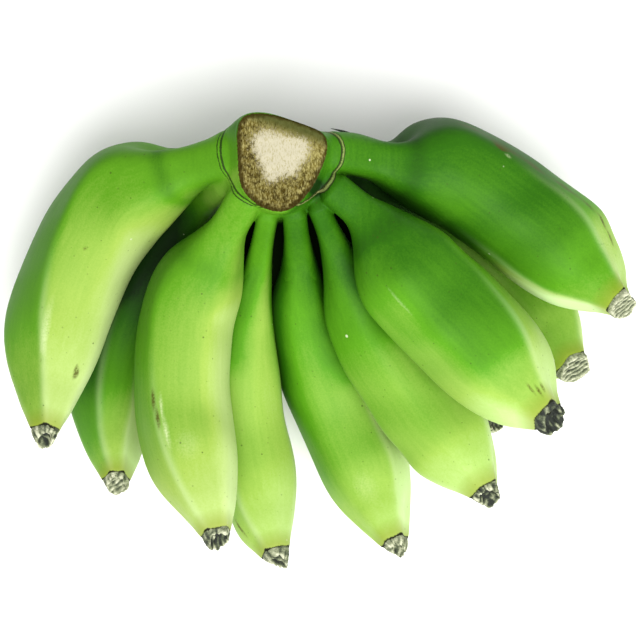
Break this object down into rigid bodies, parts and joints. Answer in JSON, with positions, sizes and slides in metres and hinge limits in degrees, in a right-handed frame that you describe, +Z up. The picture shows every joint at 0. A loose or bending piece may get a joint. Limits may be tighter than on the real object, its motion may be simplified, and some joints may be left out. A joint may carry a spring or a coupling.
{
  "type": "hand of bananas",
  "caption": "Hand of unripe green Cavendish bananas cut from the stalk: curved fingers fan out from one crown and lie with their tips curling up.",
  "frame": {"origin": "middle of the hand's box in X and Y, at the surface it rests on", "axes": "+Z up from the surface it rests on; +X across the fan of fingers, to the right as seen from above with the crown at the back; +Y from the tips towards the crown"},
  "size_m": [0.2494, 0.1874, 0.1042],
  "materials": {
    "green_peel": "waxy satin banana peel, unripe green",
    "crown_stalk": "matt fibrous stalk, tan and brown on the cut",
    "dried_flower": "matt, dry and wrinkled, grey-brown"
  },
  "bodies": {
    "root": {"crown": "crown_stalk", "finger_1": "green_peel", "finger_2": "green_peel", "finger_3": "green_peel", "finger_4": "green_peel", "finger_5": "green_peel", "finger_6": "green_peel", "finger_7": "green_peel", "finger_8": "green_peel", "finger_9": "green_peel", "finger_10": "green_peel", "blossom_end_1": "dried_flower", "blossom_end_2": "dried_flower", "blossom_end_3": "dried_flower", "blossom_end_4": "dried_flower", "blossom_end_5": "dried_flower", "blossom_end_6": "dried_flower", "blossom_end_7": "dried_flower", "blossom_end_8": "dried_flower", "blossom_end_9": "dried_flower", "blossom_end_10": "dried_flower"}
  },
  "joints": []
}
